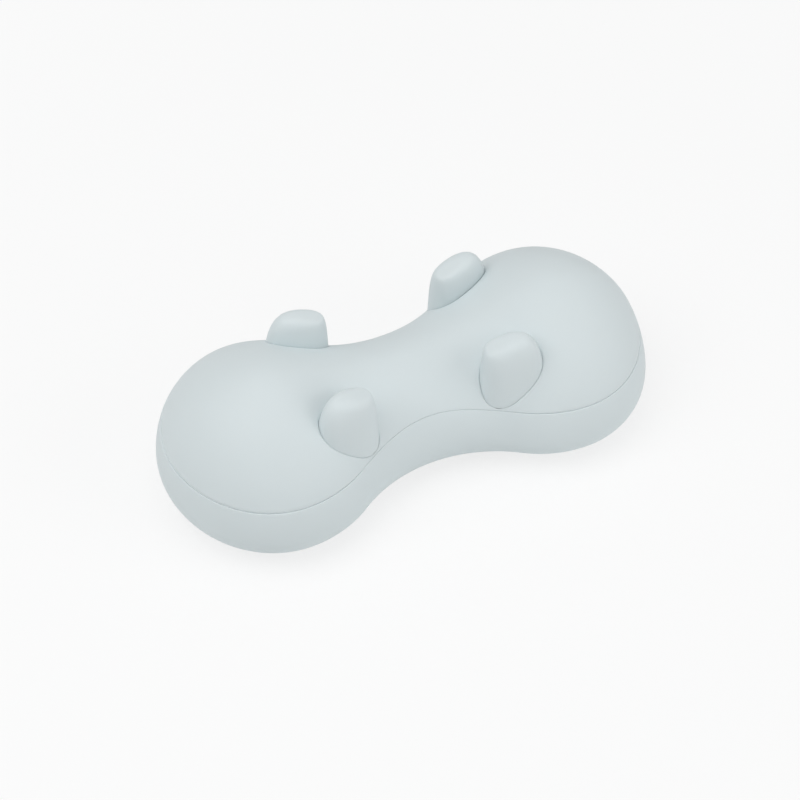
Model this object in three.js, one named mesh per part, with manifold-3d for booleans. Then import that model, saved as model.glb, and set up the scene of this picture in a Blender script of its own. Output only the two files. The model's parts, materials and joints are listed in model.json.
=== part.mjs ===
// A bath pillow that carries the neck of someone lying in a tub. A foam core fills a soft skin
// that is moulded in two parts, which meet at the parting line. Four massage nubs stand out of
// the upper skin round the waist, each held under the skin by its flange and backed by the foam.
// Four suction cups snap into sockets behind the underside and hold the pillow to the tub.
//
// Millimetres, +Z up. The origin is on the surface that the cups rest on, under the middle of
// the pillow. +X runs along the pillow, and its front is at -Y.
import * as THREE from "three";
import { mergeVertices } from "three/addons/utils/BufferGeometryUtils.js";
import Module from "manifold-3d";

// Pillow body. Heights are measured up from its underside.
const pillowLength = 280;
const lobeReach = 58; // from the centre of a round lobe to the end of the pillow
const lobeWidth = 130;
const waistWidth = 79;
const crestReach = 56; // from the highest point of a lobe to the end of the pillow
const lobeHeight = 81;
const waistHeight = 61.5;
const widestHeight = 18.5; // where the pillow is widest
const partingHeight = 38.5; // where the upper skin meets the lower one on the lobes
const partingRise = 2.8; // how much higher that is at the waist
const partingRiseReach = 40; // from the middle of the pillow to where it is level
const undersideInset = 19; // from the widest outline in to the edge of the flat underside
const crownExponent = 1.78; // of the crown's cross-section, where 2 is an ellipse
const saddleExponent = 1.3; // how the crown dips between the crests, where 1 is a cosine
const skinWall = 2.5;
const partingGap = 0.3;
const fitGap = 0.3; // between pieces that are bonded or bear on each other

// Massage nubs. They stand upright, and their foot is an egg with its blunt end at the waist.
const nubSpacingX = 98.5;
const nubPartingMargin = 1; // across the pillow, between the foot and the parting line
const nubLength = 37;
const nubWidth = 23;
const nubTurn = 8; // degrees that the egg turns outwards from the pillow's length
const nubBluntness = 0.08; // how much wider the egg is at the waist, as a share of its width
const nubFootExponent = 2.3; // how square the egg is, where 2 is round
const nubShoulderHeight = 45; // where the sides start to close over the tip
const nubTipHeight = 81.5;
const nubTipShiftX = 13.5; // from the middle of the foot to the tip, towards the waist
const nubTipShiftY = 3.8; // and towards the middle of the pillow
const nubTaper = 0.2; // share of its size that the nub loses from the shoulder to the tip
const nubTipExponent = 4.2; // how squarely the sides close over the tip, where 2 is an ellipse
const nubTipSlope = 0.38; // how steeply the tip rises towards the lobe
const nubFlangeLip = 3; // how far the flange reaches past the foot under the skin
const nubFlangeThickness = 2.5;
const nubTravel = 1.5; // how far a nub gives way when it is pressed
const nubSkinBand = 0.6; // height of skin left whole between a nub's opening and the parting line

// Suction cups, and the sockets that hold them.
const cupReach = 57; // from the middle of a cup to the end of the pillow
const cupSpacingY = 42;
const cupRimRadius = 16;
const cupRimFlat = 1.4; // width of the flat face that seals on the tub
const cupHeight = 9; // from the rim to the shoulder
const cupCavityDepth = 5.5;
const cupShoulderRadius = 7;
const cupShoulderHeight = 2;
const cupNeckRadius = 4;
const cupHeadRadius = 5.6;
const cupHeadHeight = 3.2;
const cupTabLength = 4; // how far the release tab reaches past the rim
const cupTabWidth = 7;
const cupTabThickness = 1.4;
const wellRadius = 17.5; // recess in the underside round each cup
const wellDepth = 4;
const socketBossRadius = 7.5;
const socketFlangeRadius = 12;
const socketFlangeThickness = 2;
const socketThroatLength = 4;
const socketWall = 1.6;

// Facets.
const stationCount = 26; // along the pillow
const crownSteps = 12; // across the crown
const undersideSteps = 3; // from the widest outline down to the underside
const partingSteps = 12; // along the rise of the parting line
const nubFootSteps = 22; // round the foot of a nub
const nubTipSteps = 6; // up the side of a nub
const tabSteps = 5; // round the end of a release tab
const roundSegments = 16; // round a cup, socket or well
const bellSteps = 5; // down the bell of a cup
const cutMargin = 5; // how far a cutter runs past what it cuts

// Heights above the surface that the cups rest on.
const wellCeilingZ = cupHeight + fitGap;
const undersideZ = wellCeilingZ - wellDepth;
const widestZ = undersideZ + widestHeight;
const partingZ = undersideZ + partingHeight;

const left = -1;
const right = 1;
const front = -1;
const rear = 1;
const corners = [
  { name: "front_left", sideX: left, sideY: front },
  { name: "front_right", sideX: right, sideY: front },
  { name: "rear_left", sideX: left, sideY: rear },
  { name: "rear_right", sideX: right, sideY: rear },
];

const skinMaterial = new THREE.MeshStandardMaterial({ color: "#d5dfe0", roughness: 0.6, metalness: 0 });
const nubMaterial = new THREE.MeshStandardMaterial({ color: "#d5dfe0", roughness: 0.55, metalness: 0 });
const foamMaterial = new THREE.MeshStandardMaterial({ color: "#eef0ea", roughness: 0.95, metalness: 0 });
const socketMaterial = new THREE.MeshStandardMaterial({ color: "#f2f3f1", roughness: 0.4, metalness: 0 });
const cupMaterial = new THREE.MeshStandardMaterial({
  color: "#e6eef0",
  roughness: 0.15,
  metalness: 0,
  transparent: true,
  opacity: 0.55,
});

const wasm = await Module();
wasm.setup();

// Solids

// A closed geometry as a solid that can be cut and joined.
function solidOf(geometry) {
  const bare = new THREE.BufferGeometry();
  bare.setAttribute("position", geometry.getAttribute("position"));
  bare.setIndex(geometry.getIndex());
  const merged = mergeVertices(bare, 1e-4);
  const corner = merged.index.array;
  const triVerts = [];
  for (let i = 0; i < corner.length; i += 3) {
    const [a, b, c] = [corner[i], corner[i + 1], corner[i + 2]];
    if (a !== b && b !== c && c !== a) triVerts.push(a, b, c);
  }
  const vertProperties = merged.getAttribute("position").array;
  return new wasm.Manifold(
    new wasm.Mesh({ numProp: 3, vertProperties, triVerts: new Uint32Array(triVerts) }),
  );
}

function geometryOf(solid) {
  const mesh = solid.getMesh();
  const geometry = new THREE.BufferGeometry();
  geometry.setAttribute("position", new THREE.BufferAttribute(mesh.vertProperties, 3));
  geometry.setIndex(new THREE.BufferAttribute(mesh.triVerts, 1));
  geometry.computeVertexNormals();
  return geometry;
}

function joined(solids) {
  return solids.reduce((whole, solid) => whole.add(solid));
}

// A closed surface through loops of points. Each loop runs anticlockwise seen from the last one,
// and the first and last loops have shrunk to a point or a line.
function loft(loops) {
  const count = loops[0].length;
  const index = [];
  for (let i = 0; i + 1 < loops.length; i++) {
    for (let j = 0; j < count; j++) {
      const next = (j + 1) % count;
      const [a, b] = [i * count + j, (i + 1) * count + j];
      const [c, d] = [(i + 1) * count + next, i * count + next];
      index.push(a, c, b, a, d, c);
    }
  }
  const geometry = new THREE.BufferGeometry().setFromPoints(loops.flat());
  geometry.setIndex(index);
  return geometry;
}

// A solid of revolution about +Z from [radius, height] points.
function turned(profile) {
  const points = profile.map(([radius, height]) => new THREE.Vector2(radius, height));
  return new THREE.LatheGeometry(points, roundSegments).rotateX(Math.PI / 2);
}

function disc(radius, bottom, top) {
  const height = top - bottom;
  const geometry = new THREE.CylinderGeometry(radius, radius, height, roundSegments);
  return geometry.rotateX(Math.PI / 2).translate(0, 0, bottom + height / 2);
}

// Pillow body

// The plan is two round lobes joined by a waist arc that is tangent to both.
const lobeCentre = pillowLength / 2 - lobeReach;
const lobeRadius = lobeWidth / 2;
const waistHalf = waistWidth / 2;
const waistArcRadius =
  (lobeCentre ** 2 + waistHalf ** 2 - lobeRadius ** 2) / (2 * (lobeRadius - waistHalf));
const tangentX = (lobeCentre * waistArcRadius) / (lobeRadius + waistArcRadius);

// The +Y side of the plan at x, and its outward normal, for a pillow that is smaller by inset.
function planEdge(x, inset) {
  const along = Math.abs(x);
  const side = Math.sign(x);
  if (along < tangentX) {
    const radius = waistArcRadius + inset;
    const rise = Math.sqrt(radius ** 2 - along ** 2);
    const normal = new THREE.Vector2(-x / radius, rise / radius);
    return { half: waistHalf + waistArcRadius - rise, normal };
  }
  const reach = (along > lobeCentre ? lobeReach : lobeRadius) - inset;
  const share = (along - lobeCentre) / reach;
  const half = (lobeRadius - inset) * Math.sqrt(Math.max(0, 1 - share ** 2));
  const normal = new THREE.Vector2((side * share) / reach, half / (lobeRadius - inset) ** 2);
  return { half, normal: normal.normalize() };
}

// The height of the crown along the middle of the pillow, above its widest level.
function crownRise(x, inset) {
  const along = Math.abs(x);
  const crest = pillowLength / 2 - crestReach;
  const lobeRise = lobeHeight - widestHeight - inset;
  if (along > crest) {
    const share = (along - crest) / (crestReach - inset);
    return lobeRise * Math.sqrt(Math.max(0, 1 - share ** 2));
  }
  const wave = 0.5 - 0.5 * Math.cos(Math.PI * (along / crest) ** saddleExponent);
  return lobeRise - (lobeHeight - waistHeight) * (1 - wave);
}

// A power that keeps its sign, for curves between an ellipse and a rectangle.
function powered(value, exponent) {
  return Math.sign(value) * Math.abs(value) ** exponent;
}

// Half the width of the pillow at x, at a height between its widest level and its crown.
function halfWidthAt(x, height) {
  const share = (height - widestHeight) / crownRise(x, 0);
  return planEdge(x, 0).half * (1 - share ** crownExponent) ** (1 / crownExponent);
}

// The height of the parting line at x. It is level on the lobes and rises over the waist.
function partingAt(x) {
  const share = Math.min(1, Math.abs(x) / partingRiseReach);
  return partingHeight + partingRise * (1 - share ** 2) ** 2;
}

// Everything between the parting line, moved up by shift, and a height. It is wider than the pillow.
function partingSlab(shift, end) {
  const span = pillowLength;
  const shape = new THREE.Shape().moveTo(-span, end).lineTo(-span, partingZ + shift);
  for (let i = 0; i <= partingSteps; i++) {
    const x = partingRiseReach * ((2 * i) / partingSteps - 1);
    shape.lineTo(x, undersideZ + partingAt(x) + shift);
  }
  shape.lineTo(span, partingZ + shift).lineTo(span, end);
  const geometry = new THREE.ExtrudeGeometry(shape, { depth: 2 * span, bevelEnabled: false });
  return geometry.rotateX(Math.PI / 2).translate(0, span, 0);
}

// The whole pillow as one solid, smaller than the outside by inset all round.
function pillowSolid(inset) {
  const end = pillowLength / 2 - inset;
  const drop = widestHeight - inset;
  const bend = (value) => powered(value, 2 / crownExponent);
  const loops = [];
  for (let i = 0; i <= stationCount; i++) {
    const x = -end * Math.cos((Math.PI * i) / stationCount);
    const { half, normal } = planEdge(x, inset);
    const rise = crownRise(x, inset);
    const loop = [];
    for (let j = 0; j <= crownSteps; j++) {
      const turn = (Math.PI * j) / crownSteps;
      loop.push(new THREE.Vector3(x, half * bend(Math.cos(turn)), widestZ + rise * bend(Math.sin(turn))));
    }
    const under = (side, k) => {
      const turn = ((Math.PI / 2) * k) / undersideSteps;
      const tuck = undersideInset * (1 - Math.cos(turn));
      const y = side * (half - normal.y * tuck);
      return new THREE.Vector3(x - normal.x * tuck, y, widestZ - drop * Math.sin(turn));
    };
    for (let k = 1; k <= undersideSteps; k++) loop.push(under(front, k));
    for (let k = undersideSteps; k >= 1; k--) loop.push(under(rear, k));
    loops.push(loop);
  }
  return solidOf(loft(loops));
}

// Massage nubs

const nubShoulderZ = undersideZ + nubShoulderHeight;
const nubTipZ = undersideZ + nubTipHeight;
const nubOpeningZ = partingZ + partingGap / 2 + nubSkinBand;
const nubRootZ = nubOpeningZ + fitGap + nubTravel; // clear of the skin when it is pressed
const nubFlangeZ = partingZ - nubFlangeLip; // lowest edge of the flange
const flangeInset = skinWall + fitGap;
const flangeFloorInset = flangeInset + nubFlangeThickness;

// The foot of a nub that is larger by grow all round, anticlockwise seen from above, about the
// middle of the foot.
function nubFoot({ sideX, sideY }, grow) {
  const lean = THREE.MathUtils.degToRad(nubTurn);
  const bend = (value) => powered(value, 2 / nubFootExponent);
  const points = Array.from({ length: nubFootSteps }, (_, k) => {
    const turn = (2 * Math.PI * k) / nubFootSteps;
    const along = (nubLength / 2 + grow) * bend(Math.cos(turn));
    const across = (nubWidth / 2 + grow) * bend(Math.sin(turn)) * (1 - nubBluntness * Math.cos(turn));
    const outward = new THREE.Vector2(along, across).rotateAround(new THREE.Vector2(), lean);
    return outward.multiply(new THREE.Vector2(sideX, sideY));
  });
  return sideX * sideY > 0 ? points : points.reverse();
}

// A nub stands as far out as leaves its foot the margin to the parting line.
const nubMiddleX = nubSpacingX / 2;
const nubRoom = nubFoot({ sideX: right, sideY: rear }, nubPartingMargin).map(
  ({ x, y }) => halfWidthAt(nubMiddleX + x, partingAt(nubMiddleX + x)) - y,
);
const nubMiddleY = Math.min(...nubRoom);

// Places a shape that is drawn about the middle of a nub's foot.
function atNub({ sideX, sideY }, geometry) {
  return geometry.translate(sideX * nubMiddleX, sideY * nubMiddleY, 0);
}

// The foot of a nub drawn straight up from bottom to top.
function nubPrism(corner, grow, bottom, top) {
  const foot = nubFoot(corner, grow);
  const level = (z, share) => foot.map((p) => new THREE.Vector3(p.x * share, p.y * share, z));
  return loft([level(bottom, 0), level(bottom, 1), level(top, 1), level(top, 0)]);
}

// A nub from bottom up, larger by grow all round. It rises straight to its shoulder and then
// closes over a tip that sits nearer to the waist, which leaves that side the steepest.
function nubBody(corner, grow, bottom) {
  const foot = nubFoot(corner, grow);
  const tip = new THREE.Vector2(-corner.sideX * nubTipShiftX, -corner.sideY * nubTipShiftY);
  const level = (z, share, slope) =>
    foot.map((p) => {
      const { x, y } = p.clone().lerp(tip, 1 - share);
      return new THREE.Vector3(x, y, z + slope * corner.sideX * x);
    });
  const loops = [level(bottom, 0, 0), level(bottom, 1, 0)];
  for (let k = 0; k <= nubTipSteps; k++) {
    const turn = ((Math.PI / 2) * k) / nubTipSteps;
    const rise = Math.sin(turn) ** (2 / nubTipExponent);
    const close = k < nubTipSteps ? Math.cos(turn) ** (2 / nubTipExponent) : 0;
    const z = nubShoulderZ + (nubTipZ + grow - nubShoulderZ) * rise;
    loops.push(level(z, (1 - nubTaper * rise) * close, nubTipSlope * rise));
  }
  return loft(loops);
}

function massageNub(corner) {
  const reach = nubPrism(corner, nubFlangeLip, nubFlangeZ, nubTipZ);
  const flange = solidOf(atNub(corner, reach)).intersect(pillowSolid(flangeInset));
  const body = solidOf(atNub(corner, nubBody(corner, 0, nubRootZ)));
  const solid = body.add(flange).subtract(pillowSolid(flangeFloorInset));
  const mesh = new THREE.Mesh(geometryOf(solid), nubMaterial);
  mesh.name = `massage_nub_${corner.name}`;
  return mesh;
}

// The way through the upper skin for a nub, with room for its root when it is pressed.
function nubOpening(corner) {
  return solidOf(atNub(corner, nubBody(corner, fitGap, nubOpeningZ)));
}

// The room in the foam under a nub's flange, which leaves it free to give way.
function nubPocket(corner) {
  const floor = nubFlangeZ - nubTravel - fitGap;
  const reach = nubPrism(corner, nubFlangeLip + fitGap, floor, nubTipZ);
  const backing = pillowSolid(flangeFloorInset + fitGap).translate(0, 0, -nubTravel);
  return solidOf(atNub(corner, reach)).subtract(backing);
}

// Suction cups and sockets

// Heights above the ceiling of the well.
const socketFlangeZ = skinWall + fitGap;
const socketChamberRadius = cupHeadRadius + fitGap;
const socketChamberZ = socketThroatLength + cupHeadHeight + 2 * fitGap;
const socketTopZ = socketChamberZ + socketWall;
const socketThroatRadius = cupNeckRadius + fitGap;

function cupPosition({ sideX, sideY }) {
  const x = sideX * (pillowLength / 2 - cupReach);
  return new THREE.Vector3(x, (sideY * cupSpacingY) / 2, wellCeilingZ);
}

function cupSocket(corner) {
  const profile = [
    [0, socketChamberZ],
    [socketChamberRadius, socketChamberZ],
    [socketChamberRadius, socketThroatLength],
    [socketThroatRadius, socketThroatLength],
    [socketThroatRadius, 0],
    [socketBossRadius, 0],
    [socketBossRadius, socketFlangeZ],
    [socketFlangeRadius, socketFlangeZ],
    [socketFlangeRadius, socketFlangeZ + socketFlangeThickness],
    [socketChamberRadius + socketWall, socketFlangeZ + socketFlangeThickness],
    [socketChamberRadius + socketWall, socketTopZ],
    [0, socketTopZ],
  ];
  const mesh = new THREE.Mesh(turned(profile), socketMaterial);
  mesh.name = `cup_socket_${corner.name}`;
  mesh.position.copy(cupPosition(corner));
  return mesh;
}

// The bell of the cup flares from its shoulder to its rim, outside and inside.
function bellEdge(top, bottom) {
  return Array.from({ length: bellSteps + 1 }, (_, k) => {
    const share = k / bellSteps;
    const flare = 1 - Math.cos((Math.PI / 2) * share);
    const radius = top[0] + (bottom[0] - top[0]) * Math.sin((Math.PI / 2) * share);
    return [radius, top[1] + (bottom[1] - top[1]) * flare];
  });
}

function suctionCup(corner) {
  const rimZ = -wellCeilingZ;
  const shoulderZ = -fitGap;
  const headZ = socketThroatLength + fitGap;
  const profile = [
    ...bellEdge([0, rimZ + cupCavityDepth], [cupRimRadius - cupRimFlat, rimZ]),
    ...bellEdge([cupShoulderRadius, shoulderZ - cupShoulderHeight], [cupRimRadius, rimZ]).reverse(),
    [cupShoulderRadius, shoulderZ],
    [cupNeckRadius, shoulderZ],
    [cupNeckRadius, headZ],
    [cupHeadRadius, headZ],
    [cupNeckRadius, headZ + cupHeadHeight],
    [0, headZ + cupHeadHeight],
  ];
  const tab = releaseTab(corner, rimZ);
  const mesh = new THREE.Mesh(geometryOf(solidOf(turned(profile)).add(tab)), cupMaterial);
  mesh.name = `suction_cup_${corner.name}`;
  mesh.position.copy(cupPosition(corner));
  return mesh;
}

// A round-ended tab on the rim that lets air in under the cup. It points along the pillow.
function releaseTab({ sideX }, rimZ) {
  const half = cupTabWidth / 2;
  const root = cupRimRadius - cupRimFlat;
  const tip = cupRimRadius + cupTabLength - half;
  const shape = new THREE.Shape();
  shape.moveTo(root, -half);
  shape.lineTo(tip, -half);
  shape.absarc(tip, 0, half, -Math.PI / 2, Math.PI / 2);
  shape.lineTo(root, half);
  const settings = { depth: cupTabThickness, bevelEnabled: false, curveSegments: tabSteps };
  const geometry = new THREE.ExtrudeGeometry(shape, settings).translate(0, 0, rimZ);
  return solidOf(geometry.rotateZ(sideX > 0 ? 0 : Math.PI));
}

// Skins and core

function atCup(corner, geometry) {
  const { x, y, z } = cupPosition(corner);
  return solidOf(geometry.translate(x, y, z));
}

function upperSkin() {
  const above = solidOf(partingSlab(partingGap / 2, partingZ + 2 * lobeHeight));
  const shell = pillowSolid(0).intersect(above).subtract(pillowSolid(skinWall));
  const mesh = new THREE.Mesh(geometryOf(shell.subtract(joined(corners.map(nubOpening)))), skinMaterial);
  mesh.name = "upper_skin";
  return mesh;
}

function lowerSkin() {
  const below = solidOf(partingSlab(-partingGap / 2, -cutMargin));
  const walls = corners.map((corner) => atCup(corner, disc(wellRadius + skinWall, -wellDepth, skinWall)));
  const wells = corners.map((corner) => atCup(corner, disc(wellRadius, -wellDepth - cutMargin, 0)));
  const hole = () => disc(socketBossRadius + fitGap, -cutMargin, cutMargin);
  const holes = corners.map((corner) => atCup(corner, hole()));
  const hollow = pillowSolid(skinWall).subtract(joined(walls));
  const solid = pillowSolid(0).intersect(below).subtract(hollow).subtract(joined([...wells, ...holes]));
  const mesh = new THREE.Mesh(geometryOf(solid), skinMaterial);
  mesh.name = "lower_skin";
  return mesh;
}

function foamCore() {
  const wellTop = skinWall + fitGap;
  const flangeTop = socketFlangeZ + socketFlangeThickness + fitGap;
  const rooms = corners.map((corner) =>
    joined([
      atCup(corner, disc(wellRadius + skinWall + fitGap, -wellDepth - cutMargin, wellTop)),
      atCup(corner, disc(socketFlangeRadius + fitGap, 0, flangeTop)),
      atCup(corner, disc(socketChamberRadius + socketWall + fitGap, 0, socketTopZ + fitGap)),
    ]),
  );
  const cuts = joined([...rooms, ...corners.map(nubPocket)]);
  const mesh = new THREE.Mesh(geometryOf(pillowSolid(skinWall + fitGap).subtract(cuts)), foamMaterial);
  mesh.name = "foam_core";
  return mesh;
}

const pillow = new THREE.Group();
pillow.add(upperSkin(), lowerSkin(), foamCore());
pillow.add(...corners.map(massageNub), ...corners.map(cupSocket), ...corners.map(suctionCup));

export default pillow;
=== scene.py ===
"""Dresses the packed bath pillow.

The skins, the nubs, the foam core, the sockets and the cups are made again at a fine resolution
from the sizes of the packed part, in its frame: metres, +Z up, with the origin on the surface that
the suction cups rest on, under the middle of the pillow, +X along it and its front at -Y.
"""

import json
import math

import bmesh
import bpy
import numpy as np
from bpy.props import FloatProperty, FloatVectorProperty, IntProperty, PointerProperty
from mathutils import Matrix, Vector
from mathutils.geometry import delaunay_2d_cdt


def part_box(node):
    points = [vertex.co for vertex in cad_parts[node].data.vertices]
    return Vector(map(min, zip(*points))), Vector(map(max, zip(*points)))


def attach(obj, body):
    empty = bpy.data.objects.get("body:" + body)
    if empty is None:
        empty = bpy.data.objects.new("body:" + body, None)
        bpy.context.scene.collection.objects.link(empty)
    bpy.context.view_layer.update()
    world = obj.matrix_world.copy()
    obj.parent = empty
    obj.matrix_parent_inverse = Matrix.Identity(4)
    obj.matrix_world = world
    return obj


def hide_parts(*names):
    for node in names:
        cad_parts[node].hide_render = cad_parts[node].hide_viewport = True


bl_info = {
    "name": "Bath pillow",
    "version": (1, 0, 0),
    "blender": (4, 5, 0),
    "location": "3D View > Sidebar > Bath pillow",
    "description": "Makes a moulded bath pillow with massage nubs and suction cups",
    "category": "Add Mesh",
}

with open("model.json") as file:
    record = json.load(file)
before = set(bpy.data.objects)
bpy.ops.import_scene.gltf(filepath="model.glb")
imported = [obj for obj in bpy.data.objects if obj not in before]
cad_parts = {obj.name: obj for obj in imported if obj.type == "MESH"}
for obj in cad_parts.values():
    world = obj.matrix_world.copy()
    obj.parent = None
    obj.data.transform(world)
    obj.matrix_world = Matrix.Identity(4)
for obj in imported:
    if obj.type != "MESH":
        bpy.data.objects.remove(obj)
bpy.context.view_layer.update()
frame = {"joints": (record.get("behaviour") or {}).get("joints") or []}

MM = 0.001
JOINTS = {joint["name"]: joint for joint in frame["joints"]}
SKIN_LOW, SKIN_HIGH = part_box("lower_skin")
CORNERS = {
    "front_left": (-1, -1),
    "front_right": (1, -1),
    "rear_left": (-1, 1),
    "rear_right": (1, 1),
}
MASTER_CORNER = "rear_right"  # the corner that the nub, the socket and the cup are drawn at

# How finely the pieces are drawn

QUARTER = np.linspace(0, math.pi / 2, 7)  # over a rounded edge
SKIN_TURNS = 420  # round a skin
OPENING_TURNS = 112  # round an opening in the upper skin
OPENING_STEPS = 6  # down the wall of that opening
EDGE_ROWS = 13  # of points on the upper skin that follow the parting line
OUTSIDE_STEPS = 13  # down the lower skin to its widest level
LINING_STEPS = 7  # down the inside of the lower skin to its widest level
TUCK_STEPS = 16  # from the widest level round to the underside
LINING_TUCK_STEPS = 8  # from the widest level round to the underside, on the inside
UNDERSIDE_FACETS, LINING_FACETS = 2, 3  # between points on the flat underside and inside it
CROWN_STEPS = 61  # across a section of the foam
SECTIONS = 121  # along the foam
FOAM_TUCK_STEPS = 13  # from the foam's widest level round to its underside
NUB_TURNS = 128  # round a nub
NUB_STEPS = 12  # up its straight side
NUB_TIP_STEPS = 26  # over its tip
NUB_STRAIGHT = 0.86  # share of the rise over the shoulder that counts as the straight side
POCKET_TURNS = 96  # round the room for a nub in the foam
BELL_STEPS = 20  # down the flare of a cup
EASED_STEPS = 6  # over an eased corner of a profile
TAB_TURNS = 25  # round the end of a cup's tab

# Inset, and height off the nearer face, of the loops over a tab, in shares of its eased edge
TAB_BOTTOM = [(1, 0), (0.3, 0.3), (0, 1)]
TAB_TOP = [(0, -1), (0.3, -0.3), (1, 0)]

ROW_SPACING = 0.6  # of the facet, between rows that follow the parting line
CLEARANCE = 0.6  # of the spacing, which a point keeps to the others
HALVINGS = 48  # of an interval in search of a crossing
SEAM_LEVELS = -1.0, 0.98  # on a nub's side, between which it meets the pillow's surface
TINY = 1e-9  # keeps a division defined at the ends of the pillow
SAME_POINT = 1e-6  # metres within which two points are one
PLAN_EPSILON = 1e-8  # metres within which two points of a plan are one
SMOOTH_BEND = math.radians(25)  # below which a corner of a profile isn't eased
SHARP_EDGE = math.radians(40)  # above which an edge is shaded sharp

# Azimuth and elevation of the lamps in degrees
LAMPS = {"key": (-90, 55), "fill": (45, 25), "overhead": (0, 90)}
SENSOR_WIDTH = 36  # of the camera in millimetres
CLIP_END = 20  # metres that the camera sees


def linear(hex_colour):
    """An sRGB hex colour as linear light."""
    channels = [int(hex_colour[i : i + 2], 16) / 255 for i in (1, 3, 5)]
    return tuple(c / 12.92 if c <= 0.04045 else ((c + 0.055) / 1.055) ** 2.4 for c in channels)


def measure(name, description, millimetres):
    """A size that can be set, in metres."""
    size = millimetres * MM
    return FloatProperty(
        name=name, description=description, default=size, unit="LENGTH", precision=5
    )


def number(name, description, value):
    """A plain number that can be set."""
    return FloatProperty(name=name, description=description, default=value, precision=3)


def angle(name, description, degrees):
    """An angle that can be set."""
    turn = math.radians(degrees)
    return FloatProperty(name=name, description=description, default=turn, subtype="ANGLE")


def wattage(name, description, watts):
    """The power of a lamp that can be set."""
    return FloatProperty(name=name, description=description, default=watts, unit="POWER")


def colour(name, description, hex_colour):
    """A colour that can be set."""
    value = linear(hex_colour)
    return FloatVectorProperty(
        name=name, description=description, default=value, subtype="COLOR", min=0, max=1
    )


class PillowSizes(bpy.types.PropertyGroup):
    """The moulded body. Heights are measured up from its underside"""

    length: measure("Length", "From end to end", (SKIN_HIGH.x - SKIN_LOW.x) / MM)
    underside: measure("Underside", "Height of the underside over the tub", SKIN_LOW.z / MM)
    lobe_reach: measure("Lobe reach", "From the centre of a lobe to the pillow's end", 58)
    lobe_width: measure("Lobe width", "Across a lobe at its widest", 130)
    waist_width: measure("Waist width", "Across the waist at its widest level", 79)
    crest_reach: measure("Crest reach", "From a lobe's highest point to the pillow's end", 56)
    lobe_height: measure("Lobe height", "From the underside to a lobe's highest point", 81)
    waist_height: measure("Waist height", "From the underside to the crown at the waist", 61.5)
    widest_height: measure("Widest height", "Where the pillow is widest", 18.5)
    parting_height: measure("Parting height", "Where the skins meet on the lobes", 38.5)
    parting_rise: measure("Parting rise", "How much higher the skins meet at the waist", 2.8)
    parting_rise_reach: measure("Rise reach", "From the middle to where the rise ends", 40)
    underside_inset: measure("Underside inset", "From the widest outline to the flat underside", 19)
    skin_wall: measure("Skin wall", "Thickness of the moulded skin", 2.5)
    parting_gap: measure("Parting gap", "Width of the line between the two skins", 0.09)
    parting_lip: measure("Parting lip", "Rounding of the upper skin's edge on the lobes", 2.4)
    waist_lip: measure("Waist lip", "Rounding of the upper skin's edge at the waist", 0.5)
    lip_depth: measure("Lip depth", "Most depth of any rounding of the upper skin", 0.75)
    lower_lip: measure("Lower lip", "Rounding of the lower skin's edge", 0.2)
    fit_gap: measure("Fit gap", "Between pieces that are bonded or bear on each other", 0.3)
    crown_exponent: number("Crown exponent", "Of a section over the crown; 2 is an ellipse", 1.78)
    saddle_exponent: number("Saddle exponent", "Of the dip of the crown; 1 is a cosine", 1.3)
    facet: measure("Facet", "Spacing of the points on the skins", 2.2)


class NubSizes(bpy.types.PropertyGroup):
    """The massage nubs. Heights are measured up from the pillow's underside"""

    spacing: measure("Spacing", "Along the pillow, between the middles of their feet", 98.5)
    middle: measure("Middle", "From the pillow's middle line to the middle of the foot", 33)
    length: measure("Length", "Of the foot, along the pillow", 37)
    width: measure("Width", "Of the foot, across the pillow", 23)
    turn: angle("Turn", "How far the foot turns outwards", 8)
    bluntness: number("Bluntness", "How much wider the foot is at the waist", 0.08)
    foot_exponent: number("Foot exponent", "How square the foot is; 2 is round", 2.3)
    shoulder_height: measure("Shoulder height", "Where the sides start to close", 45)
    tip_height: measure("Tip height", "Top of the nub", 81.5)
    tip_shift_x: measure("Tip shift along", "From the foot's middle towards the waist", 13.5)
    tip_shift_y: measure("Tip shift across", "From the foot's middle towards the pillow's", 3.8)
    taper: number("Taper", "Share of its size that it loses from the shoulder to the tip", 0.2)
    tip_exponent: number("Tip exponent", "How squarely the sides close over the tip", 4.2)
    tip_slope: number("Tip slope", "How steeply the tip rises towards the lobe", 0.38)
    flange_lip: measure("Flange lip", "How far the flange reaches past the foot", 3)
    flange_thickness: measure("Flange thickness", "Of the flange under the skin", 2.5)
    crease_gap: measure("Crease gap", "Between a nub and the skin round its foot", 0.07)
    crease_lip: measure("Crease lip", "Rounding of the skin round a nub's foot", 1.6)
    crease_share: number("Crease share", "Of the height over the root that the lip may take", 0.35)


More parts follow.
